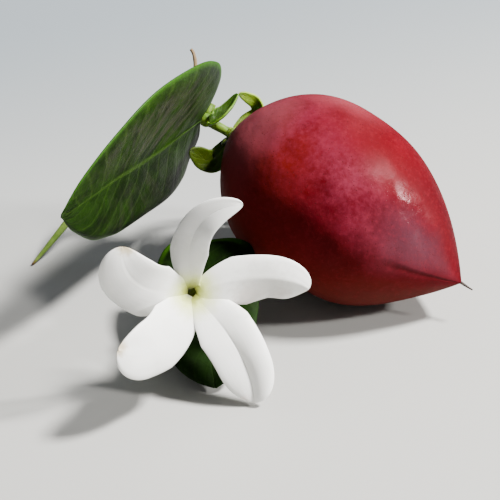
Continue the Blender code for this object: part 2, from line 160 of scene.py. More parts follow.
def clouds(tree, point, scale, detail=3.0, rough=0.55, distortion=0.0):
    """Noise around 0.5 at features of about 1/scale millimetres."""
    node = tree.nodes.new("ShaderNodeTexNoise")
    tree.links.new(point, node.inputs["Vector"])
    dial(node, Scale=scale, Detail=detail, Roughness=rough, Distortion=distortion)
    return node.outputs["Fac"]


def ramp(tree, value, low, high, to_low=0.0, to_high=1.0):
    """Smooth step of value between low and high."""
    node = tree.nodes.new("ShaderNodeMapRange")
    node.interpolation_type = "SMOOTHSTEP"
    tree.links.new(value, node.inputs["Value"])
    dial(node, From_Min=low, From_Max=high, To_Min=to_low, To_Max=to_high)
    return node.outputs["Result"]


def paint(tree, mask, under, over):
    """Mix two colours, each a tuple or an output, by a mask."""
    node = tree.nodes.new("ShaderNodeMix")
    node.data_type = "RGBA"
    if isinstance(mask, bpy.types.NodeSocket):
        tree.links.new(mask, node.inputs[0])
    else:
        node.inputs[0].default_value = mask
    for socket, value in ((node.inputs[6], under), (node.inputs[7], over)):
        if isinstance(value, bpy.types.NodeSocket):
            tree.links.new(value, socket)
        else:
            socket.default_value = (*value, 1.0)
    return node.outputs[2]


def stain(tree, under, mask, strength, tone):
    """Lay a tone over a colour where the mask is."""
    return paint(tree, times(tree, mask, strength), under, tone)


def bump(tree, height, strength, distance_mm, normal=None):
    node = tree.nodes.new("ShaderNodeBump")
    dial(node, Strength=strength, Distance=distance_mm * MM)
    tree.links.new(height, node.inputs["Height"])
    if normal is not None:
        tree.links.new(normal, node.inputs["Normal"])
    return node.outputs["Normal"]


fruit_sizes = {
    "Length": FRUIT_LENGTH,
    "Radius": 17.41,
    "Widest": 0.4047,
    "Shoulder Power": 2.417,
    "Shoulder Root": 0.658,
    "Taper Power": 2.303,
    "Taper Root": 0.987,
    "Ridge Belly": 0.006,
    "Ridge Tip": 0.04,
    "Ridge Turn": 0.9,
    "Crown": 0.063,
    "Crown Turn": 2.09,
    "Dimple": 0.012,
    "Rings": 150,
    "Segments": 220,
}
tree, given, result = geometry_tree("FruitSkin", fruit_sizes)
size = given.outputs
grid = tree.nodes.new("GeometryNodeMeshGrid")
tree.links.new(calc(tree, "ADD", size["Rings"], 1.0), grid.inputs["Vertices X"])
tree.links.new(calc(tree, "ADD", size["Segments"], 1.0), grid.inputs["Vertices Y"])
at = split(tree, tree.nodes.new("GeometryNodeInputPosition").outputs[0])
turn = times(tree, calc(tree, "ADD", at[0], 0.5), math.pi)
along = calc(tree, "MULTIPLY_ADD", calc(tree, "COSINE", turn), -0.5, 0.5)
angle = times(tree, calc(tree, "ADD", at[1], 0.5), 2.0 * math.pi)
profile = size["Radius"]
beyond = calc(tree, "SUBTRACT", 1.0, size["Widest"])
behind_belly = calc(tree, "DIVIDE", calc(tree, "SUBTRACT", size["Widest"], along), size["Widest"])
before_belly = calc(tree, "DIVIDE", calc(tree, "SUBTRACT", along, size["Widest"]), beyond)
for part, end in ((behind_belly, "Shoulder"), (before_belly, "Taper")):
    raised = calc(tree, "POWER", calc(tree, "MAXIMUM", part, 0.0), size[end + " Power"])
    left = calc(tree, "MAXIMUM", calc(tree, "SUBTRACT", 1.0, raised), 0.0)
    profile = times(tree, profile, calc(tree, "POWER", left, size[end + " Root"]))
tip_part = times(tree, calc(tree, "MAXIMUM", calc(tree, "SUBTRACT", along, 0.6), 0.0), 2.5)
ridge_gain = calc(tree, "SUBTRACT", size["Ridge Tip"], size["Ridge Belly"])
ridge = calc(tree, "ADD", size["Ridge Belly"], times(tree, ridge_gain, tip_part))
five = times(tree, calc(tree, "ADD", angle, size["Ridge Turn"]), 5.0)
ridge = times(tree, ridge, calc(tree, "COSINE", five))
profile = times(tree, profile, calc(tree, "ADD", ridge, 1.0))
crown_part = calc(tree, "DIVIDE", calc(tree, "SUBTRACT", along, 0.535), 0.359, clamp=True)
crown = calc(tree, "SINE", times(tree, crown_part, math.pi))
crown_side = calc(tree, "MAXIMUM", calc(tree, "SINE", calc(tree, "ADD", angle, size["Crown Turn"])), 0.0)
crown = times(tree, times(tree, crown, crown_side), size["Crown"])
profile = times(tree, profile, calc(tree, "ADD", crown, 1.0))
cos_a, sin_a = calc(tree, "COSINE", angle), calc(tree, "SINE", angle)
skin_point = tree.nodes.new("ShaderNodeCombineXYZ")
for socket, value in zip(skin_point.inputs, (times(tree, along, 3.0), cos_a, sin_a)):
    tree.links.new(value, socket)
dents = calc(tree, "SUBTRACT", clouds(tree, skin_point.outputs[0], 1.3, 2.0, 0.45), 0.5)
dents = times(tree, calc(tree, "MINIMUM", dents, 0.0), size["Dimple"])
profile = times(tree, profile, calc(tree, "ADD", dents, 1.0))
sideways = vec(tree, "SCALE", tuple(fruit_side), cos_a)
around = vec(tree, "ADD", sideways, vec(tree, "SCALE", tuple(fruit_over), sin_a))
spot = vec(tree, "SCALE", tuple(FRUIT_AXIS), times(tree, along, size["Length"]))
spot = vec(tree, "ADD", vec(tree, "ADD", tuple(FRUIT_BASE), spot), vec(tree, "SCALE", around, profile))
spot = vec(tree, "MAXIMUM", spot, (-1000.0, -1000.0, 0.0))
dial(grid, Size_X=1.0, Size_Y=1.0)
stored = after(tree, "GeometryNodeStoreNamedAttribute", grid.outputs["Mesh"])
stored.data_type = "FLOAT_VECTOR"
stored.inputs["Name"].default_value = "ripening"
tree.links.new(skin_point.outputs[0], stored.inputs["Value"])
moved = after(tree, "GeometryNodeSetPosition", stored.outputs["Geometry"])
tree.links.new(vec(tree, "SCALE", spot, MM), moved.inputs["Position"])
closed = after(tree, "GeometryNodeMergeByDistance", moved.outputs["Geometry"])
closed.inputs["Distance"].default_value = 0.000002
soft = after(tree, "GeometryNodeSetShadeSmooth", closed.outputs["Geometry"])
end_tree(tree, soft.outputs["Geometry"], size["Material"], result)

fruit_skin, tree, shader = new_material("fruit_skin")
point = object_point(tree)
ripening = tree.nodes.new("ShaderNodeAttribute")
ripening.attribute_name = "ripening"
along, toward, above = split(tree, ripening.outputs["Vector"])
angle = calc(tree, "ARCTAN2", above, toward)
patches = clouds(tree, point, 0.14, 4.0, 0.6)
fleck = clouds(tree, point, 1.1, 3.0, 0.7)
wander = calc(tree, "MULTIPLY_ADD", clouds(tree, point, 0.07, 2.0), 0.9, -0.45)


def belt(tree, value, centre, half_width):
    """Soft mask round a centre value."""
    return ramp(tree, calc(tree, "ABSOLUTE", calc(tree, "SUBTRACT", value, centre)), half_width, 0.0)


def zone(turn, turn_width, place, place_width):
    """Soft patch of skin round a turn about the fruit's axis and a place along it, 0 to 3."""
    return times(tree, belt(tree, uneven, turn, turn_width), belt(tree, along, place, place_width))


uneven = calc(tree, "ADD", angle, wander)
colour = paint(tree, ramp(tree, patches, 0.35, 0.65), (0.07, 0.0008, 0.0035), (0.1, 0.0014, 0.006))
scarlet, ripe = zone(0.6, 0.8, 0.75, 0.7), zone(1.5, 0.7, 1.9, 1.3)
colour = stain(tree, colour, scarlet, 0.8, (0.12, 0.004, 0.0003))
colour = stain(tree, colour, ripe, 0.8, (0.09, 0.0002, 0.003))
# Painted shade: the skin turned away from the lamp, down and to the left, takes a shade colour.
underside = calc(tree, "ADD", times(tree, toward, 0.53), times(tree, above, -0.85))
underside = calc(tree, "MULTIPLY_ADD", wander, 0.6, underside)
shade = times(tree, ramp(tree, underside, -0.05, 0.8), ramp(tree, along, 3.2, 2.3))
colour = stain(tree, colour, shade, 0.9, (0.075, 0.0035, 0.0013))
# Painted reflection: the lowest part of the underside is lifted toward the pale floor's tone.
colour = paint(tree, ramp(tree, underside, 0.6, 0.95, 0.0, 0.8), colour, (0.075, 0.014, 0.01))
# A pinkish bloom along the crest and near the stem end: partly the skin's waxy bloom, partly painted sheen
# where the skin faces the sky.
crest = calc(tree, "MULTIPLY_ADD", along, -0.43, 1.57)
bloom_and_sheen = calc(tree, "MAXIMUM", zone(crest, 0.6, 1.5, 1.2), zone(1.15, 1.25, 0.45, 0.85))
bloom_and_sheen_grain = calc(tree, "MULTIPLY_ADD", fleck, 0.5, times(tree, patches, 0.7))
bloom_and_sheen = times(tree, bloom_and_sheen, ramp(tree, bloom_and_sheen_grain, 0.36, 0.8))
colour = stain(tree, colour, bloom_and_sheen, 0.64, (0.17, 0.022, 0.047))
# Pinker skin near the stem end and along the top: partly waxy bloom, partly painted sheen.
pink_bloom_and_sheen = times(tree, belt(tree, uneven, 1.0, 1.5), ramp(tree, along, 0.8, 0.25))
pink_bloom_and_sheen = calc(tree, "MAXIMUM", pink_bloom_and_sheen, times(tree, zone(1.9, 0.55, 0.9, 0.7), 0.6))
colour = stain(tree, colour, pink_bloom_and_sheen, 0.68, (0.24, 0.052, 0.066))
far_side = times(tree, belt(tree, uneven, 1.75, 0.7), ramp(tree, along, 1.7, 2.4))
colour = stain(tree, colour, far_side, 0.75, (0.042, 0.0012, 0.0035))
# A dusty mauve patch low near the tip: partly the skin's bloom, partly painted sheen round its lower
# highlight.
colour = stain(tree, colour, zone(0.78, 0.6, 2.4, 0.75), 0.9, (0.068, 0.019, 0.029))
# Painted shade: a dark line along the ridge near the tip, where the lit upper facet meets the shaded lower
# one.
crease = times(tree, belt(tree, angle, 0.34, 0.1), ramp(tree, along, 2.1, 2.5))
colour = stain(tree, colour, crease, 0.75, (0.03, 0.0002, 0.0005))
pores = tree.nodes.new("ShaderNodeTexVoronoi")
pores.inputs["Scale"].default_value = 1.9
tree.links.new(point, pores.inputs["Vector"])
pore = ramp(tree, pores.outputs["Distance"], 0.24, 0.08)
pore = times(tree, pore, ramp(tree, clouds(tree, point, 2.1), 0.42, 0.6))
colour = stain(tree, colour, pore, 0.12, (0.34, 0.04, 0.05))
colour = paint(tree, ramp(tree, fleck, 0.45, 0.8, 0.0, 0.25), colour, (0.2, 0.012, 0.02))
tree.links.new(colour, shader.inputs["Base Color"])
polished = times(tree, belt(tree, angle, 1.0, 0.85), belt(tree, along, 2.15, 0.95))
roughness = calc(tree, "MULTIPLY_ADD", polished, -0.6, times(tree, patches, 0.24))
roughness = calc(tree, "MAXIMUM", calc(tree, "ADD", roughness, 0.58), 0.18)
tree.links.new(roughness, shader.inputs["Roughness"])
gloss = calc(tree, "MULTIPLY_ADD", polished, 0.17, 0.08)
tree.links.new(gloss, shader.inputs["Specular IOR Level"])
dial(
    shader,
    Specular_Tint=(1.0, 0.5, 0.55, 1.0),
    IOR=1.38,
    Subsurface_Weight=0.05,
    Subsurface_Radius=(1.0, 0.2, 0.12),
    Subsurface_Scale=0.002,
)
grain = calc(tree, "ADD", times(tree, fleck, 0.6), times(tree, pore, 0.3))
fine = bump(tree, calc(tree, "SUBTRACT", grain, times(tree, crease, 3.0)), 0.4, 0.12)
dimples = bump(tree, clouds(tree, point, 0.3, 2.0, 0.4), 0.4, 0.5, fine)
tree.links.new(bump(tree, clouds(tree, point, 0.1, 1.0), 0.6, 1.6, dimples), shader.inputs["Normal"])

fruit_body = build_by_nodes("fruit_body", bpy.data.node_groups["FruitSkin"], fruit_sizes, fruit_skin)
hand_over(fruit_body, "fruit_skin", "fruit")

# Pores: the fine corky dots that a ripe skin carries, hardly raised and grown in it. They follow
# the skin, so Geometry Nodes scatter them over it with a fixed seed.
pore_sizes = {"Per Square Metre": 600000.0, "Smallest": 0.05, "Largest": 0.1, "Seed": 11}
tree, given, result = geometry_tree("SkinPores", pore_sizes, has_input=True)
size = given.outputs
scatter = tree.nodes.new("GeometryNodeDistributePointsOnFaces")
tree.links.new(size["Geometry"], scatter.inputs["Mesh"])
tree.links.new(size["Per Square Metre"], scatter.inputs["Density"])
tree.links.new(size["Seed"], scatter.inputs["Seed"])
dot = tree.nodes.new("GeometryNodeMeshIcoSphere")
dial(dot, Radius=MM, Subdivisions=1)
flat_dot = after(tree, "GeometryNodeTransform", dot.outputs["Mesh"])
flat_dot.inputs["Scale"].default_value = (1.0, 1.0, 0.22)
any_size = tree.nodes.new("FunctionNodeRandomValue")
tree.links.new(size["Smallest"], any_size.inputs[2])
tree.links.new(size["Largest"], any_size.inputs[3])
tree.links.new(size["Seed"], any_size.inputs["Seed"])
placed = tree.nodes.new("GeometryNodeInstanceOnPoints")
tree.links.new(scatter.outputs["Points"], placed.inputs["Points"])
tree.links.new(flat_dot.outputs["Geometry"], placed.inputs["Instance"])
tree.links.new(scatter.outputs["Rotation"], placed.inputs["Rotation"])
tree.links.new(any_size.outputs[1], placed.inputs["Scale"])
end_tree(tree, placed.outputs["Instances"], size["Material"], result)

pore_cork, tree, shader = new_material("pore_cork")
tone = clouds(tree, object_point(tree), 0.6)
colour = paint(tree, ramp(tree, tone, 0.35, 0.65), (0.035, 0.0015, 0.002), (0.065, 0.004, 0.005))
tree.links.new(colour, shader.inputs["Base Color"])
dial(shader, Roughness=0.7, Specular_IOR_Level=0.08)
fruit_pores = build_by_nodes(
    "fruit_pores", bpy.data.node_groups["SkinPores"], pore_sizes, pore_cork, fruit_body.data.copy()
)
hand_over(fruit_pores, "fruit_skin")

# Style remnant: the short dried thread that the flower left on the fruit's tip, black and
# crumpled, fused to the skin at its root.


def through(points):
    """A smooth curve that passes through all the points."""

    def curve(t):
        at = min(t * (len(points) - 1), len(points) - 1.000001)
        i = int(at)
        u = at - i
        p0, p1, p2 = points[max(i - 1, 0)], points[i], points[i + 1]
        p3 = points[min(i + 2, len(points) - 1)]
        bend = (p0 * 2.0 - p1 * 5.0 + p2 * 4.0 - p3) * (u * u) + (p1 * 3.0 - p0 - p2 * 3.0 + p3) * u**3
        return (p1 * 2.0 + (p2 - p0) * u + bend) * 0.5

    return curve


def track(*spots):
    """The smooth curve through spots given in millimetres."""
    return through([Vector(spot) for spot in spots])


def bezier(control, t):
    if callable(control):
        return control(t)
    points = list(control)
    while len(points) > 1:
        points = [a.lerp(b, t) for a, b in zip(points, points[1:])]
    return points[0]


def tangent(control, t):
    step = 0.002
    return (bezier(control, min(1.0, t + step)) - bezier(control, max(0.0, t - step))).normalized()


def rod(control, radius_at, rings, segments, roughen=0.0, seed=0.0):
    """Points, faces and UVs of a closed rod along a curve, with an uneven surface."""
    points, faces, uvs = [], [], []
    side = tangent(control, 0.0).orthogonal().normalized()
    for i in range(rings + 1):
        t = i / rings
        axis = tangent(control, t)
        side = (side - axis * side.dot(axis)).normalized()
        over = axis.cross(side)
        centre = bezier(control, t)
        for j in range(segments):
            a = 2.0 * math.pi * j / segments
            out = side * math.cos(a) + over * math.sin(a)
            uneven = noise.noise(centre * 0.8 + out * 0.7 + Vector((seed, 0.0, 0.0)))
            points.append(centre + out * (radius_at(t) * (1.0 + roughen * uneven)))
            uvs.append((t, j / segments))
    for i in range(rings):
        for j in range(segments):
            k = (j + 1) % segments
            low, high = i * segments, (i + 1) * segments
            faces.append((low + j, low + k, high + k, high + j))
    points += [bezier(control, 0.0), bezier(control, 1.0)]
    uvs += [(0.0, 0.5), (1.0, 0.5)]
    last = rings * segments
    for j in range(segments):
        k = (j + 1) % segments
        faces.append((len(points) - 2, k, j))
        faces.append((len(points) - 1, last + j, last + k))
    return points, faces, uvs


def lathe(origin, axis, profile, segments):
    """Points, faces and UVs of a closed solid of revolution; profile is (along, radius) pairs."""
    side = axis.orthogonal().normalized()
    over = axis.cross(side)
    points = [origin + axis * profile[0][0], origin + axis * profile[-1][0]]
    uvs = [(0.0, 0.5), (1.0, 0.5)]
    rings = profile[1:-1]
    for n, (along, radius) in enumerate(rings):
        for j in range(segments):
            a = 2.0 * math.pi * j / segments
            points.append(origin + axis * along + (side * math.cos(a) + over * math.sin(a)) * radius)
            uvs.append((n / len(rings), j / segments))
    faces = []
    for j in range(segments):
        k = (j + 1) % segments
        faces.append((0, 2 + k, 2 + j))
        for i in range(len(rings) - 1):
            low, high = 2 + i * segments, 2 + (i + 1) * segments
            faces.append((low + j, low + k, high + k, high + j))
        last = 2 + (len(rings) - 1) * segments
        faces.append((1, last + j, last + k))
    return points, faces, uvs


def grow(name, shells, material):
    """One object from closed shells of points, faces and UVs, all in millimetres."""
    points, faces, uvs = [], [], []
    for shell_points, shell_faces, shell_uvs in shells:
        start = len(points)
        points += shell_points
        uvs += shell_uvs
        faces += [tuple(start + i for i in face) for face in shell_faces]
    mesh = bpy.data.meshes.new(name)
    mesh.from_pydata([tuple(p * MM) for p in points], [], faces)
    mesh.update()
    layer = mesh.uv_layers.new(name="UVMap")
    for loop in mesh.loops:
        layer.data[loop.index].uv = uvs[loop.vertex_index]
    body = bmesh.new()
    body.from_mesh(mesh)
    bmesh.ops.recalc_face_normals(body, faces=body.faces)
    body.to_mesh(mesh)
    body.free()
    for face in mesh.polygons:
        face.use_smooth = True
    mesh.materials.append(material)
    obj = bpy.data.objects.new(name, mesh)
    bpy.context.scene.collection.objects.link(obj)
    return obj


def plain_finish(name, dark, light, rough, scale, relief):
    """A material of one substance that varies between two tones, with a fine relief."""
    mat, tree, shader = new_material(name)
    point = object_point(tree)
    tone = clouds(tree, point, scale, 4.0, 0.6)
    tree.links.new(paint(tree, ramp(tree, tone, 0.3, 0.7), dark, light), shader.inputs["Base Color"])
    shader.inputs["Roughness"].default_value = rough
    tree.links.new(bump(tree, clouds(tree, point, scale * 4.0), 0.5, relief), shader.inputs["Normal"])
    return mat


style_black = plain_finish("style_black", (0.008, 0.006, 0.005), (0.05, 0.03, 0.02), 0.7, 1.4, 0.1)
tip = FRUIT_BASE + FRUIT_AXIS * (FRUIT_LENGTH + 0.15)
style_end = tip + FRUIT_AXIS * 1.9 + Vector((0.3, 0.0, -0.2))
style_path = (tip - FRUIT_AXIS * 0.55, tip + FRUIT_AXIS * 0.9, style_end)
style = rod(style_path, lambda t: 0.29 * (1.0 - 0.45 * t), 16, 14, 0.45, 3.0)
hand_over(grow("style_thread", [style], style_black), "style_dry", "style_remnant")

# Twig: the green node with its cut stub, the fruit's stalk and the side shoot that carries the
# flower, grown as one piece of young bark with faint lengthwise wrinkles.
NODE = Vector((-26.0, 16.2, 27.3))
STUB_END = Vector((-24.9, 18.4, 29.4))
THROAT = Vector((-27.8, -26.3, 18.2))
FLOWER_AXIS = Vector((0.22, -0.86, 0.46)).normalized()
TUBE_LENGTH = 10.0
STEM_RADIUS, SHOOT_RADIUS, KNOT_RADIUS = 0.85, 0.7, 1.4
twig_bark, tree, shader = new_material("twig_bark")
point = object_point(tree)
bark_tone = ramp(tree, clouds(tree, point, 0.5, 4.0), 0.35, 0.65)
young = paint(tree, bark_tone, (0.06, 0.13, 0.006), (0.15, 0.25, 0.02))
scurf = ramp(tree, clouds(tree, point, 1.6, 3.0), 0.64, 0.76)
tree.links.new(paint(tree, scurf, young, (0.33, 0.22, 0.1)), shader.inputs["Base Color"])
dial(shader, Roughness=0.55, Specular_IOR_Level=0.25)
tree.links.new(bump(tree, clouds(tree, point, 2.5, 4.0), 0.6, 0.15), shader.inputs["Normal"])
stem_seat = FRUIT_BASE + (fruit_side * math.cos(3.9) + fruit_over * math.sin(3.9)) * 2.9
stalk_end = stem_seat - FRUIT_AXIS * 0.15
flower_foot = THROAT - FLOWER_AXIS * (TUBE_LENGTH + 1.96)
shoot_path = track(
    NODE.lerp(stalk_end, 0.5),
    (-21.0, 21.0, 20.5), (-17.5, 22.3, 9.5), (-15.3, 18.5, 1.6),
    (-14.0, 11.5, 1.25), (-17.5, 2.6, 4.0), (-23.0, -1.2, 6.5),
    (-26.6, -3.4, 11.3), (-27.5, -6.6, 15.0), (-28.8, -10.5, 14.6),
    (-30.3, -13.9, 12.7),
    flower_foot,
)
knot_axis = (STUB_END - NODE).normalized()
knot_profile = [(-KNOT_RADIUS, 0.0)]
for i in range(1, 20):
    knot_profile.append((-KNOT_RADIUS * math.cos(0.15 * i), KNOT_RADIUS * math.sin(0.15 * i)))
knot_profile.append((KNOT_RADIUS, 0.0))
stalk_path = (NODE, stalk_end - FRUIT_AXIS * 2.4, stalk_end)
stub_path = (NODE, NODE.lerp(STUB_END, 0.6), STUB_END)
twig_shells = [
    rod(stalk_path, lambda t: STEM_RADIUS * (1.25 - 0.25 * math.sin(0.5 * math.pi * t)), 40, 28, 0.12),
    lathe(NODE, knot_axis, knot_profile, 36),
    rod(stub_path, lambda t: STEM_RADIUS * (1.0 - 0.1 * math.cos(7.0 * t)), 24, 28, 0.15),
    rod(shoot_path, lambda t: SHOOT_RADIUS * (1.15 - 0.25 * math.sin(math.pi * t)), 160, 16, 0.1),
]
hand_over(grow("twig_wood", twig_shells, twig_bark), "twig_green", "twig")

# Calyx of the fruit: a thin green ring round the stalk with five lobes, two of them long enough
# to show past the fruit. All of one leathery tissue.


def blade(control, faces_to, halves, slope_at, steps, thick, relief=None, margins=None):
    """Points, faces and UVs of a leaf or petal: a strip along a curve, bent across by slope_at(s, v).

    U runs along the strip and V across it; thick is the thickness in its middle, which thins
    out toward the margin, and relief lifts the surface at (s, v) along the blade's own normal.
    A leaf whose halves differ has its two margins as curves instead of half widths.
    """
    rows, cols = steps
    sheet, spots = [], []
    for i in range(rows + 1):
        s = 0.5 - 0.5 * math.cos(math.pi * i / rows)
        axis = tangent(control, s)
        face = faces_to[0].lerp(faces_to[1], s)
        face = (face - axis * face.dot(axis)).normalized()
        side = axis.cross(face)
        centre = bezier(control, s)
        row, spot = [centre], [(s, 0.0)]
        for sign, number in ((-1, 0), (1, 1)):
            reach = bezier(margins[number], s) - centre if margins else side * (sign * halves[number](s))
            half = reach.length
            out = reach.normalized()
            x, z = 0.0, 0.0
            branch, marks = [], []
            for j in range(cols):
                slope = slope_at(s, sign * (j + 0.5) / cols)
                x += math.cos(slope) * half / cols
                z += math.sin(slope) * half / cols
                branch.append(centre + out * x + face * z)
                marks.append((s, sign * (j + 1) / cols))
            row = branch[::-1] + row if sign < 0 else row + branch
            spot = marks[::-1] + spot if sign < 0 else spot + marks
        sheet.append(row)
        spots.append(spot)
    across = 2 * cols + 1
    points, uvs = [], []
    for offset in (0.5, -0.5):
        for i in range(rows + 1):
            for j in range(across):
                s, v = spots[i][j]
                du = sheet[min(i + 1, rows)][j] - sheet[max(i - 1, 0)][j]
                dv = sheet[i][min(j + 1, across - 1)] - sheet[i][max(j - 1, 0)]
                thin = thick * max(0.2, 1.0 - abs(v) ** 9) ** 0.5 * max(0.2, 1.0 - s**14) ** 0.5
                lift = relief(s, v) if relief else 0.0
                points.append(sheet[i][j] + du.cross(dv).normalized() * (thin * offset + lift))
                uvs.append((s, 0.5 + 0.5 * v))
    count = (rows + 1) * across
    faces = []
    for i in range(rows):
        for j in range(across - 1):
            a, b = i * across + j, i * across + j + 1
            c, d = a + across, b + across
            faces.append((a, b, d, c))
            faces.append((count + a, count + c, count + d, count + b))
    rim = list(range(across))
    rim += [i * across + across - 1 for i in range(1, rows + 1)]
    rim += [rows * across + j for j in range(across - 2, -1, -1)]
    rim += [i * across for i in range(rows - 1, 0, -1)]
    for k, a in enumerate(rim):
        b = rim[(k + 1) % len(rim)]
        faces.append((a, count + a, count + b, b))
    return points, faces, uvs


def vein_group():
    """Node group: midrib, side veins and rim of a leaf from its UV map."""
    group = bpy.data.node_groups.new("LeafVeins", "ShaderNodeTree")
    for label, kind, value in (
        ("UV", "NodeSocketVector", None),
        ("Pairs", "NodeSocketFloat", 9.0),
        ("Slant", "NodeSocketFloat", 2.2),
        ("Lean", "NodeSocketFloat", 0.0),
        ("Rim Start", "NodeSocketFloat", 0.88),
    ):
        socket = group.interface.new_socket(label, in_out="INPUT", socket_type=kind)
        if value is not None:
            socket.default_value = value
    for label in ("Midrib", "Veins", "Rim"):
        group.interface.new_socket(label, in_out="OUTPUT", socket_type="NodeSocketFloat")
    given = group.nodes.new("NodeGroupInput").outputs
    result = group.nodes.new("NodeGroupOutput").inputs
    at = split(group, given["UV"])
    signed = calc(group, "MULTIPLY_ADD", at[1], 2.0, -1.0)
    off = calc(group, "ABSOLUTE", signed)
    waver = times(group, clouds(group, given["UV"], 4.0, 1.0), 0.5)
    phase = times(group, at[0], given["Pairs"])
    phase = calc(group, "SUBTRACT", phase, times(group, off, given["Slant"]))
    phase = calc(group, "SUBTRACT", phase, times(group, signed, given["Lean"]))
    phase = calc(group, "FRACT", calc(group, "ADD", phase, calc(group, "ADD", waver, 20.0)))
    vein = calc(group, "ABSOLUTE", calc(group, "SUBTRACT", phase, 0.5))
    group.links.new(ramp(group, vein, 0.13, 0.0), result["Veins"])
    width = calc(group, "MULTIPLY_ADD", at[0], -0.03, 0.045)
    group.links.new(ramp(group, calc(group, "SUBTRACT", off, width), 0.02, -0.02), result["Midrib"])
    rim = calc(group, "SUBTRACT", off, given["Rim Start"])
    group.links.new(ramp(group, rim, 0.0, 0.07), result["Rim"])
    return group


leaf_veins = vein_group()


def leaf_sheen(tree, uv):
    """Painted sheen: grey streaks of reflected light over the half of the blade above the midrib, broken by
    darker gaps.
    """
    run, across, _ = split(tree, uv)
    upper = times(tree, ramp(tree, across, 0.5, 0.62), ramp(tree, across, 0.97, 0.86))
    upper = times(tree, upper, belt(tree, run, 0.5, 0.5))
    lower = times(tree, ramp(tree, across, 0.5, 0.3), belt(tree, run, 0.5, 0.4))
    sheen_streak_space = tree.nodes.new("ShaderNodeMapping")
    dial(sheen_streak_space, Rotation=(0.0, 0.0, 0.5), Scale=(22.0, 3.5, 1.0))
    tree.links.new(uv, sheen_streak_space.inputs["Vector"])
    streaks = ramp(tree, clouds(tree, sheen_streak_space.outputs[0], 1.0, 5.0, 0.7, 0.9), 0.38, 0.68)
    cover = calc(tree, "MAXIMUM", upper, times(tree, lower, 0.45))
    return times(tree, times(tree, cover, streaks), 0.75)


def leaf_finish(name, tones, rough, pairs, rim_start, vein_relief, **extra):
    """A leathery leaf: mottled green, pale midrib, faint side veins and a brighter rolled rim that is
    partly paler margin and partly painted light on the rolled edge.

    tones are dark, light, veins and rim; extra may set lean, sheen, glow, gloss and rim_until.
    """
    dark, light, vein_colour, rim_and_lit_edge_colour = tones
    rim_until = extra.get("rim_until", 1.5)
    mat, tree, shader = new_material(name)
    point = object_point(tree)
    uv = tree.nodes.new("ShaderNodeTexCoord").outputs["UV"]
    veins = tree.nodes.new("ShaderNodeGroup")
    veins.node_tree = leaf_veins
    tree.links.new(uv, veins.inputs["UV"])
    dial(veins, Pairs=pairs, Lean=extra.get("lean", 0.0), Rim_Start=rim_start)
    mottle = clouds(tree, point, 0.16, 5.0, 0.62)
    colour = paint(tree, ramp(tree, mottle, 0.34, 0.68), dark, light)
    colour = stain(tree, colour, veins.outputs["Veins"], 0.22, vein_colour)
    colour = stain(tree, colour, veins.outputs["Midrib"], 0.45, vein_colour)
    # The brighter green rim is partly paler margin and partly painted light on the rolled edge.
    near_root = ramp(tree, split(tree, uv)[0], rim_until, rim_until - 0.2)
    colour = stain(tree, colour, times(tree, veins.outputs["Rim"], near_root), 0.9, rim_and_lit_edge_colour)
    # Painted sheen laid over the blade's colour.
    if "sheen" in extra:
        colour = paint(tree, leaf_sheen(tree, uv), colour, extra["sheen"])
    tree.links.new(colour, shader.inputs["Base Color"])
    wear = clouds(tree, point, 0.8, 4.0, 0.65)
    tree.links.new(calc(tree, "MULTIPLY_ADD", wear, 0.22, rough - 0.1), shader.inputs["Roughness"])
    height = clouds(tree, point, 1.4, 4.0)
    for line in ("Veins", "Midrib"):
        height = calc(tree, "SUBTRACT", height, times(tree, veins.outputs[line], vein_relief))
    tree.links.new(bump(tree, height, 0.5, 0.16), shader.inputs["Normal"])
    dial(
        shader,
        Specular_IOR_Level=extra.get("gloss", 0.2),
        Subsurface_Weight=extra.get("glow", 0.08),
        Subsurface_Radius=(0.6, 1.0, 0.12),
        Subsurface_Scale=0.0015,
    )
    return mat


sepal_tones = ((0.06, 0.1, 0.004), (0.15, 0.23, 0.012), (0.25, 0.33, 0.04), (0.25, 0.35, 0.04))
sepal_green = leaf_finish("sepal_green", sepal_tones, 0.45, 5.0, 0.86, 0.3, glow=0.4)
tree = sepal_green.node_tree
sepal_colour = tree.nodes["Principled BSDF"].inputs["Base Color"]
# Painted shade: the lobes lower down, under the fruit's base, are darkened.
low_painted_shade = ramp(tree, split(tree, object_point(tree))[2], 26.5, 24.0, 0.0, 0.85)
unshaded_sepal = sepal_colour.links[0].from_socket
tree.links.new(paint(tree, low_painted_shade, unshaded_sepal, (0.017, 0.028, 0.001)), sepal_colour)
CALYX_RING_OUTER = 1.85
calyx_origin = stem_seat - FRUIT_AXIS * 0.8
ring_points, ring_faces, ring_uvs = [], [], []
ring_steps = 60
ring_profile = ((0.0, 1.3), (0.0, 1.65), (0.1, 1.8), (0.25, 1.85), (0.4, 1.8), (0.5, 1.65), (0.5, 1.3))
for i in range(ring_steps):
    a = 2.0 * math.pi * i / ring_steps
    out = fruit_side * math.cos(a) + fruit_over * math.sin(a)
    for k, (rise, radius) in enumerate(ring_profile):
        ring_points.append(calyx_origin + FRUIT_AXIS * rise + out * radius)
        ring_uvs.append((0.1, 0.1 + 0.1 * k))
    nxt = (i + 1) % ring_steps
    for k in range(len(ring_profile)):
        m = (k + 1) % len(ring_profile)
        ring_faces.append((i * 7 + k, i * 7 + m, nxt * 7 + m, nxt * 7 + k))


def calyx_lobe(path, faces, half):
    width = lambda s: half * min(1.0, 0.3 + 1.8 * s) * max(0.06, 1.0 - s**5) ** 0.7
    cup = lambda s, v: 0.3 * abs(v)
    return blade(path, faces, (width, width), cup, (44, 12), 0.58)


def ring_root(angle):
    out = fruit_side * math.cos(angle) + fruit_over * math.sin(angle)
    return calyx_origin + out * (CALYX_RING_OUTER - 0.4) + FRUIT_AXIS * 0.15, out


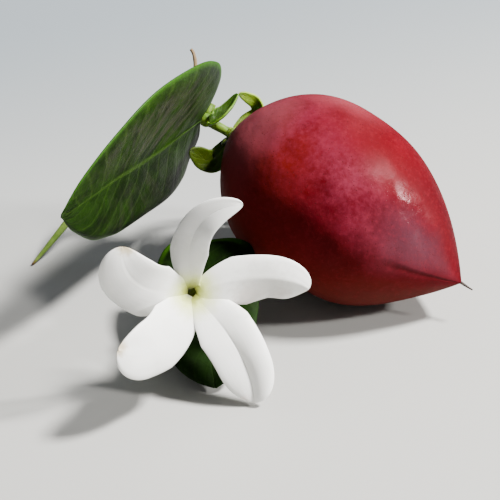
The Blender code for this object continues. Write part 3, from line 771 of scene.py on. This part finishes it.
top_lobe_path = track(
    ring_root(2.1)[0],
    (-18.8, 18.3, 26.2), (-16.3, 19.1, 27.2), (-16.6, 19.2, 29.2),
    (-18.2, 18.6, 30.8), (-19.8, 18.1, 31.9),
)
under_lobe_path = track(
    ring_root(4.6)[0],
    (-22.9, 15.0, 21.5), (-24.4, 13.4, 20.0), (-26.0, 12.0, 20.9),
    (-27.6, 11.2, 22.6), (-29.0, 10.7, 23.9),
)
calyx_shells = [
    (ring_points, ring_faces, ring_uvs),
    calyx_lobe(top_lobe_path, (Vector((-0.5, -0.6, 0.5)), Vector((-0.2, -0.8, 0.55))), 1.35),
    calyx_lobe(under_lobe_path, (Vector((-0.3, -0.7, 0.6)), Vector((0.0, -0.8, 0.6))), 2.35),
]
for angle, reach in ((0.84, 1.4), (3.35, 2.4), (5.87, 1.4)):
    root, out = ring_root(angle)
    path = (root, root + out * (0.7 * reach), root + out * reach - FRUIT_AXIS * (0.15 * reach))
    calyx_shells.append(calyx_lobe(path, (-FRUIT_AXIS, -FRUIT_AXIS), 0.9))
hand_over(grow("calyx_lobes", calyx_shells, sepal_green), "fruit_calyx", "fruit_calyx")

# Thorn: one long, smooth, yellow-green spine from the node, hard and slightly curved, that
# narrows to a sharp tip on the surface.
thorn_green, tree, shader = new_material("thorn_green")
point = object_point(tree)
run = split(tree, tree.nodes.new("ShaderNodeTexCoord").outputs["UV"])[0]
green_tone = ramp(tree, clouds(tree, point, 0.3, 4.0), 0.3, 0.7)
green = paint(tree, green_tone, (0.1, 0.19, 0.02), (0.22, 0.33, 0.06))
brown_end = ramp(tree, run, 0.97, 1.0)
tree.links.new(paint(tree, brown_end, green, (0.2, 0.09, 0.03)), shader.inputs["Base Color"])
shader.inputs["Roughness"].default_value = 0.38
tree.links.new(bump(tree, clouds(tree, point, 1.5, 3.0), 0.3, 0.1), shader.inputs["Normal"])
thorn_path = (
    NODE + Vector((-1.6, 2.2, 0.5)),
    Vector((-38.0, 21.5, 25.5)),
    Vector((-48.5, 16.0, 10.5)),
    Vector((-60.0, 6.9, 0.22)),
)
thorn = rod(thorn_path, lambda t: 0.22 + 0.78 * (1.0 - t**5), 90, 28, 0.04)
hand_over(grow("thorn_spine", [thorn], thorn_green), "thorn_green", "thorn")

# Dry tip: a thin withered shoot end above the node, beige below and brown toward its end.
dry_brown, tree, shader = new_material("dry_brown")
point = object_point(tree)
run = split(tree, tree.nodes.new("ShaderNodeTexCoord").outputs["UV"])[0]
toward_end = ramp(tree, run, 0.35, 0.85)
withered = paint(tree, toward_end, (0.3, 0.25, 0.11), (0.16, 0.1, 0.045))
spots = ramp(tree, clouds(tree, point, 1.8, 4.0), 0.58, 0.74)
tree.links.new(paint(tree, spots, withered, (0.06, 0.03, 0.015)), shader.inputs["Base Color"])
shader.inputs["Roughness"].default_value = 0.75
tree.links.new(bump(tree, clouds(tree, point, 3.0, 4.0), 0.8, 0.15), shader.inputs["Normal"])
dry_path = (
    NODE + Vector((-1.6, 1.2, 2.0)),
    Vector((-29.2, 19.6, 32.5)),
    Vector((-27.0, 22.4, 36.2)),
    Vector((-28.9, 23.8, 38.3)),
)
dry = rod(dry_path, lambda t: 0.42 * (1.15 - 0.4 * t), 50, 18, 0.3, 5.0)
hand_over(grow("dry_shoot_end", [dry], dry_brown), "dry_tip_brown", "dry_tip")

# Large leaf: one thick leathery blade on a short petiole, held on edge, rounded at its root, with
# a margin that rolls toward the viewer and a small pointed end.

def leaf_relief(s, v):
    """A shallow groove over the midrib and gentle waves between the side veins."""
    groove = -0.16 * math.exp(-((v / 0.05) ** 2)) * (1.0 - s)
    ripple = math.sin(2.0 * math.pi * (9.0 * s - 2.2 * abs(v)))
    quilt = 0.05 * ripple * min(1.0, 3.0 * abs(v)) * (1.0 - v * v)
    wave = 0.25 * noise.noise(Vector((5.0 * s, 2.0 * v, 0.7))) * min(1.0, 4.0 * s)
    return groove + quilt + wave


LEAF_THICKNESS = 0.64
leaf_face = Vector((0.83, -0.49, -0.25))
leaf_midrib = track(
    (-27.3, 14.5, 28.3), (-31.5, 7.0, 29.0), (-36.6, -1.7, 29.5),
    (-40.7, -9.3, 31.0), (-45.1, -17.2, 31.9), (-49.2, -24.7, 32.5),
)
leaf_lower_margin = track(
    (-27.3, 14.8, 27.7), (-27.6, 16.6, 23.1), (-29.1, 16.4, 18.7),
    (-30.5, 16.2, 14.2), (-33.2, 12.9, 12.0), (-37.4, 5.4, 12.9),
    (-41.4, -2.1, 14.3), (-43.7, -7.1, 16.4), (-45.8, -12.2, 19.2),
    (-48.2, -19.9, 26.5), (-49.1, -24.5, 32.0),
)
leaf_upper_margin = track(
    (-27.0, 14.8, 28.8), (-24.9, 17.2, 31.0), (-23.1, 17.8, 35.6),
    (-23.4, 15.1, 40.1), (-26.7, 7.8, 43.6), (-33.7, -5.0, 45.3),
    (-40.1, -14.3, 42.2), (-45.7, -21.4, 37.8), (-49.1, -24.6, 33.0),
)
large_tones = ((0.003, 0.009, 0.0008), (0.0105, 0.031, 0.0018), (0.04, 0.085, 0.01), (0.022, 0.075, 0.003))
# The large leaf's painted sheen: grey reflected light over its upper half.
sheen_and_lean = {"lean": -1.4, "sheen": (0.046, 0.043, 0.031), "gloss": 0.1}
large_leaf_green = leaf_finish("large_leaf_green", large_tones, 0.5, 14.0, 0.93, 0.22, **sheen_and_lean)
large_leaf = blade(
    leaf_midrib,
    (leaf_face, leaf_face),
    None,
    lambda s, v: 0.02 - 1.6 * max(0.0, abs(v) - 0.8),
    (150, 54),
    LEAF_THICKNESS,
    leaf_relief,
    (leaf_lower_margin, leaf_upper_margin),
)
hand_over(grow("large_leaf_blade", [large_leaf], large_leaf_green), "leaf_large", "leaf_large")

# Small leaf: a young cupped leaf at the node, yellower and softer than the large one.
small_path = track(
    (-25.3, 13.7, 28.7), (-24.2, 13.6, 28.8), (-22.6, 14.3, 29.6),
    (-21.3, 15.6, 30.5), (-19.9, 16.9, 32.5),
)
small_width = lambda s: max(0.35, 2.25 * math.sin(math.pi * (0.12 + 0.84 * s)) ** 0.8)
small_face = Vector((-0.62, -0.2, 0.62))
small_tones = ((0.012, 0.034, 0.002), (0.035, 0.08, 0.006), (0.09, 0.16, 0.02), (0.1, 0.19, 0.015))
small_leaf_green = leaf_finish("small_leaf_green", small_tones, 0.45, 6.0, 0.85, 0.3, glow=0.4)
small_cup = lambda s, v: 0.55 * abs(v) + 0.2
small_leaf = blade(small_path, (small_face,) * 2, (small_width,) * 2, small_cup, (50, 16), 0.55)
hand_over(grow("small_leaf_blade", [small_leaf], small_leaf_green), "leaf_small", "leaf_small")

# Leaf behind the flower: a broad leathery leaf that hangs from the side shoot, its upper margin
# turned to the light and its end just above the surface.
flower_leaf_face = Vector((0.0, -0.82, 0.57))
flower_leaf_midrib = track(
    (-27.4, -8.2, 12.5), (-26.7, -13.8, 10.5), (-25.7, -21.0, 8.1),
    (-24.7, -27.2, 4.9), (-23.8, -31.3, 1.0),
)
flower_leaf_left = track(
    (-27.8, -8.1, 12.6), (-29.2, -6.5, 14.2), (-31.6, -6.2, 14.4),
    (-33.9, -8.0, 12.8), (-35.2, -13.8, 10.5), (-34.3, -22.0, 7.7),
    (-31.3, -28.2, 4.3), (-27.8, -30.6, 2.2), (-24.1, -31.3, 1.0),
)
flower_leaf_right = track(
    (-27.0, -8.1, 12.6), (-25.9, -6.2, 14.4), (-22.8, -5.6, 14.9),
    (-19.5, -5.8, 14.8), (-17.2, -7.0, 13.7), (-15.9, -11.7, 11.2),
    (-16.1, -18.0, 9.2), (-17.3, -25.0, 6.7), (-20.1, -29.8, 3.4),
    (-23.5, -31.3, 1.0),
)
# Painted shade: this leaf's tones are much darker than the large leaf's, standing in for the fruit's shadow
# over it; its bright rim near the root is painted light on the upper margin.
painted_shade_tones = ((0.0016, 0.0045, 0.0004), (0.005, 0.017, 0.0009), (0.011, 0.03, 0.002), (0.035, 0.11, 0.004))
shaded_leaf_extras = {"gloss": 0.05, "rim_until": 0.45}
flower_leaf_green = leaf_finish("flower_leaf_green", painted_shade_tones, 0.6, 8.0, 0.88, 0.2, **shaded_leaf_extras)
flower_leaf = blade(
    flower_leaf_midrib,
    (flower_leaf_face, flower_leaf_face),
    None,
    lambda s, v: 0.06 - 0.9 * max(0.0, abs(v) - 0.7),
    (100, 36),
    LEAF_THICKNESS,
    lambda s, v: 0.5 * leaf_relief(s, v),
    (flower_leaf_left, flower_leaf_right),
)
hand_over(grow("flower_leaf_blade", [flower_leaf], flower_leaf_green), "leaf_flower", "leaf_flower")

# Corolla: five sickle-shaped waxy white petals that grow out of one narrow tube, yellow-green
# round the throat, with a few brown bruises where they have begun to fade. Two soft grey spots
# on the right and top petals and the dark inside of the throat are painted shade.


def spot_group():
    """Node group: a soft ragged spot round a point, for bruises, stains and painted shade."""
    group = bpy.data.node_groups.new("SoftSpot", "ShaderNodeTree")
    for label, kind in (("Point", "Vector"), ("Centre", "Vector"), ("Reach", "Float")):
        group.interface.new_socket(label, in_out="INPUT", socket_type="NodeSocket" + kind)
    group.interface.new_socket("Mask", in_out="OUTPUT", socket_type="NodeSocketFloat")
    given = group.nodes.new("NodeGroupInput").outputs
    result = group.nodes.new("NodeGroupOutput").inputs
    far = vec(group, "DISTANCE", given["Point"], given["Centre"])
    ragged = calc(group, "MULTIPLY_ADD", clouds(group, given["Point"], 1.1, 3.0), 1.0, 0.5)
    part = calc(group, "DIVIDE", times(group, far, ragged), given["Reach"])
    group.links.new(ramp(group, part, 1.0, 0.25), result["Mask"])
    return group


soft_spot = spot_group()


def spot_mask(tree, point, centre, reach):
    node = tree.nodes.new("ShaderNodeGroup")
    node.node_tree = soft_spot
    tree.links.new(point, node.inputs["Point"])
    dial(node, Centre=centre, Reach=reach)
    return node.outputs["Mask"]


petal_white, tree, shader = new_material("petal_white")
point = object_point(tree)
uv = tree.nodes.new("ShaderNodeTexCoord").outputs["UV"]
wax_tone = ramp(tree, clouds(tree, point, 0.25, 3.0), 0.3, 0.7)
colour = paint(tree, wax_tone, (0.9, 0.9, 0.87), (0.96, 0.96, 0.93))
from_throat = vec(tree, "DISTANCE", point, tuple(THROAT))
ragged = calc(tree, "ADD", from_throat, times(tree, clouds(tree, point, 0.9), 1.6))
colour = paint(tree, ramp(tree, ragged, 7.0, 2.6), colour, (0.62, 0.68, 0.22))
colour = paint(tree, ramp(tree, ragged, 3.6, 1.9), colour, (0.26, 0.29, 0.03))
# The inside of the throat is dark: partly olive colour, partly painted shade in the recess.
colour = paint(tree, ramp(tree, from_throat, 1.5, 0.7), colour, (0.06, 0.065, 0.006))
for centre, reach, tone, amount in (
    ((-37.6, -33.6, 32.9), 2.6, (0.42, 0.3, 0.09), 0.75),
    ((-39.2, -41.5, 18.2), 2.4, (0.45, 0.33, 0.14), 0.7),
    ((-17.7, -26.5, 17.0), 3.6, (0.5, 0.33, 0.27), 0.35),
    ((-12.5, -26.0, 16.2), 3.2, (0.5, 0.33, 0.27), 0.35),
    ((-23.2, -26.0, 29.0), 1.4, (0.3, 0.17, 0.08), 0.8),
    ((-18.4, -36.5, 2.0), 2.2, (0.75, 0.5, 0.45), 0.5),
    # The two grey spots below are painted shade on the right petal and on the top petal.
    ((-15.5, -25.6, 18.6), 7.0, (0.55, 0.535, 0.5), 0.6),
    ((-28.0, -26.5, 25.2), 6.0, (0.6, 0.6, 0.565), 0.5),
):
    colour = stain(tree, colour, spot_mask(tree, point, centre, reach), amount, tone)
tree.links.new(colour, shader.inputs["Base Color"])
dial(
    shader,
    Roughness=0.48,
    Subsurface_Weight=0.12,
    Subsurface_Radius=(1.0, 0.97, 0.85),
    Subsurface_Scale=0.0008,
)
nerve_point = tree.nodes.new("ShaderNodeMapping")
nerve_point.inputs["Scale"].default_value = (1.5, 26.0, 1.0)
tree.links.new(uv, nerve_point.inputs["Vector"])
nerves = clouds(tree, nerve_point.outputs[0], 1.0, 3.0, 0.5, 0.3)
tree.links.new(bump(tree, nerves, 0.2, 0.1), shader.inputs["Normal"])

MOUTH_RADIUS, MOUTH_HOLE, MOUTH_DEPTH = 2.3, 0.95, 3.2
PETAL_THICKNESS = 0.6
tube_profile = [
    (-TUBE_LENGTH, 0.0),
    (-TUBE_LENGTH, 1.1),
    (-TUBE_LENGTH + 0.25, 1.25),
    (-7.5, 1.21),
    (-5.0, 1.19),
    (-3.6, 1.28),
    (-2.2, 1.44),
    (-1.3, 1.62),
    (-0.6, 1.84),
    (-0.1, 2.1),
    (0.2, MOUTH_RADIUS),
    (0.45, 2.2),
    (0.58, 1.84),
    (0.42, 1.5),
    (0.1, 1.2),
    (-0.4, MOUTH_HOLE),
    (-1.4, 0.85),
    (-MOUTH_DEPTH, MOUTH_HOLE * 0.7),
    (-MOUTH_DEPTH, 0.0),
]
corolla_shells = [lathe(THROAT, FLOWER_AXIS, tube_profile, 72)]


def petal_half(s, half, growth, narrowing, fullness):
    """Half width at s: it grows from the throat, narrows by its length and rounds off at the end."""
    grown = min(1.0, 0.3 + growth * s - (growth - 1.0) * s * s)
    rounded = max(0.0, 1.0 - max(0.0, (s - 0.6) / 0.4) ** fullness)
    return max(0.25, half * (1.0 - narrowing * s) * grown * rounded**0.5)


# A half is its width, growth, narrowing and fullness, the anticlockwise one first. A petal is its end,
# sideways bulge, rise, halves and cups; a cup is its root and gain, the clockwise half's first.
top_halves = ((3.9, 2.6, 0.42, 2.2),) * 2
right_halves = ((4.3, 2.6, 0.17, 2.2), (5.1, 2.3, 0.0, 5.0))
foot_halves = ((5.1, 2.6, 0.05, 2.2),) * 2
low_left_halves = ((7.6, 1.9, 0.33, 2.2), (5.2, 2.6, 0.1, 2.2))
left_halves = ((6.0, 2.6, 0.12, 2.0), (4.9, 2.6, 0.12, 1.8))
petals = (
    ((-18.9, -25.4, 35.6), 4.7, 0.8, top_halves, ((0.7, -0.5), (0.0, -0.5))),
    ((-7.6, -24.8, 17.8), 2.3, 1.2, right_halves, ((-0.45, -0.6), (0.1, -0.3))),
    ((-17.0, -35.0, 0.9), 2.0, 1.6, foot_halves, ((0.1, -0.4), (0.95, -1.3))),
    ((-39.3, -41.5, 17.6), 3.2, 0.6, low_left_halves, ((0.35, -0.3), (-0.2, -0.5))),
    ((-38.5, -33.5, 32.6), 3.5, 0.6, left_halves, ((0.4, -0.2), (-0.1, -0.6))),
)
for number, (end, bulge, rise, widths, cup) in enumerate(petals):
    chord = Vector(end) - THROAT
    radial = (chord - FLOWER_AXIS * chord.dot(FLOWER_AXIS)).normalized()
    turn = FLOWER_AXIS.cross(radial)
    start = THROAT + radial * MOUTH_HOLE
    path = (
        start,
        start + chord * 0.28 + turn * (bulge * 1.1) + FLOWER_AXIS * rise,
        start + chord * 0.72 + turn * (bulge * 1.5) + FLOWER_AXIS * rise,
        Vector(end),
    )
    face = (FLOWER_AXIS - chord * (FLOWER_AXIS.dot(chord) / chord.length_squared)).normalized()

    def petal_slope(s, v, cup=cup):
        root, gain = cup[0 if v > 0.0 else 1]
        return (root + gain * abs(v)) * min(1.0, 1.6 * s)

    def petal_relief(s, v, number=number):
        """A faint fold down the middle and a soft waver toward the margins."""
        fold = -0.08 * math.exp(-((v / 0.16) ** 2)) * s
        return fold + 0.22 * noise.noise(Vector((3.0 * s, 1.6 * v, 4.0 * number))) * abs(v) * s

    corolla_shells.append(
        blade(
            path,
            ((FLOWER_AXIS + turn * 0.15).normalized(), face),
            [lambda s, width=width: petal_half(s, *width) for width in widths],
            petal_slope,
            (60, 22),
            PETAL_THICKNESS,
            relief=petal_relief,
        )
    )
hand_over(grow("corolla_petals", corolla_shells, petal_white), "petal_white", "corolla")

# Calyx of the flower: five small green lobes round the foot of the tube, of the same tissue as
# the fruit's calyx.
foot = THROAT - FLOWER_AXIS * (TUBE_LENGTH + 0.3)
cup_profile = [(-1.0, 0.0), (-1.0, 0.8), (-0.8, 1.08), (-0.5, 1.28), (-0.2, 1.35), (0.0, 1.3), (0.0, 0.0)]
flower_calyx_shells = [lathe(foot, FLOWER_AXIS, cup_profile, 40)]
side = FLOWER_AXIS.orthogonal().normalized()
over = FLOWER_AXIS.cross(side)
for number in range(5):
    a = 2.0 * math.pi * (number + 0.4) / 5
    out = side * math.cos(a) + over * math.sin(a)
    root = foot - FLOWER_AXIS * 0.5 + out * 0.9
    path = (root, root + out * 1.2 + FLOWER_AXIS * 0.8, root + out * 1.3 + FLOWER_AXIS * 2.6)
    width = lambda s: max(0.15, 0.75 * (1.0 - s**2))
    twist = lambda s, v: 0.15 * v
    flower_calyx_shells.append(blade(path, (-out, -out), (width, width), twist, (24, 8), 0.5))
hand_over(grow("flower_calyx_lobes", flower_calyx_shells, sepal_green), "flower_calyx", "flower_calyx")

# Table top: a pale matte surface for the sprig to lie on, darker and bluer toward the back left as painted
# shade, and a soft window-like light.
floor_mesh = bpy.data.meshes.new("table_top")
corners = [(-3.0, -3.0, 0.0), (3.0, -3.0, 0.0), (3.0, 3.0, 0.0), (-3.0, 3.0, 0.0)]
floor_mesh.from_pydata(corners, [], [(0, 1, 2, 3)])
table_top = bpy.data.objects.new("table_top", floor_mesh)
bpy.context.scene.collection.objects.link(table_top)
pale, tree, shader = new_material("pale_table")
point = object_point(tree)
faint = ramp(tree, clouds(tree, point, 0.01, 3.0), 0.3, 0.7)
plain = paint(tree, faint, (0.4, 0.397, 0.381), (0.415, 0.412, 0.395))
# Painted shade: the table darkens and cools toward the back left, where less lamp light falls.
painted_falloff = ramp(tree, vec(tree, "DOT_PRODUCT", point, (-0.3, 0.95, 0.0)), 0.0, 130.0)
tree.links.new(paint(tree, painted_falloff, plain, (0.22, 0.25, 0.275)), shader.inputs["Base Color"])
shader.inputs["Roughness"].default_value = 0.6
floor_mesh.materials.append(pale)


def lamp(name, place, target, width, height, power, colour):
    light = bpy.data.lights.new(name, "AREA")
    light.shape = "RECTANGLE"
    light.size, light.size_y = width, height
    light.energy = power
    light.color = colour
    obj = bpy.data.objects.new(name, light)
    bpy.context.scene.collection.objects.link(obj)
    obj.location = place
    obj.rotation_euler = (Vector(target) - Vector(place)).to_track_quat("-Z", "Y").to_euler()


lamp("window", (0.53, 0.03, 0.79), (-0.01, 0.0, 0.015), 0.14, 0.14, 37.0, (1.0, 0.985, 0.955))
lamp("window_low", (0.84, -0.14, 0.5), (0.0, 0.0, 0.015), 0.08, 0.08, 13.0, (1.0, 0.98, 0.95))
lamp("sky", (-0.3, 0.9, 0.75), (-0.01, 0.0, 0.015), 0.8, 0.8, 2.0, (0.85, 0.92, 1.0))
world = bpy.data.worlds.new("soft_room")
world.use_nodes = True
dial(world.node_tree.nodes["Background"], Color=(0.93, 0.96, 1.0, 1.0), Strength=0.17)
bpy.context.scene.world = world

# Camera: a little above the table, looking down on the sprig from the front.
camera_data = bpy.data.cameras.new("camera")
camera_data.lens = 116.93
camera_data.sensor_width = 36.0
camera_data.sensor_fit = "HORIZONTAL"
camera_data.clip_start = 0.01
camera = bpy.data.objects.new("camera", camera_data)
camera.location = (-0.0177, -0.24993, 0.18354)
camera.rotation_euler = (math.radians(55.0), 0.0, 0.0)
bpy.context.scene.collection.objects.link(camera)
bpy.context.scene.camera = camera
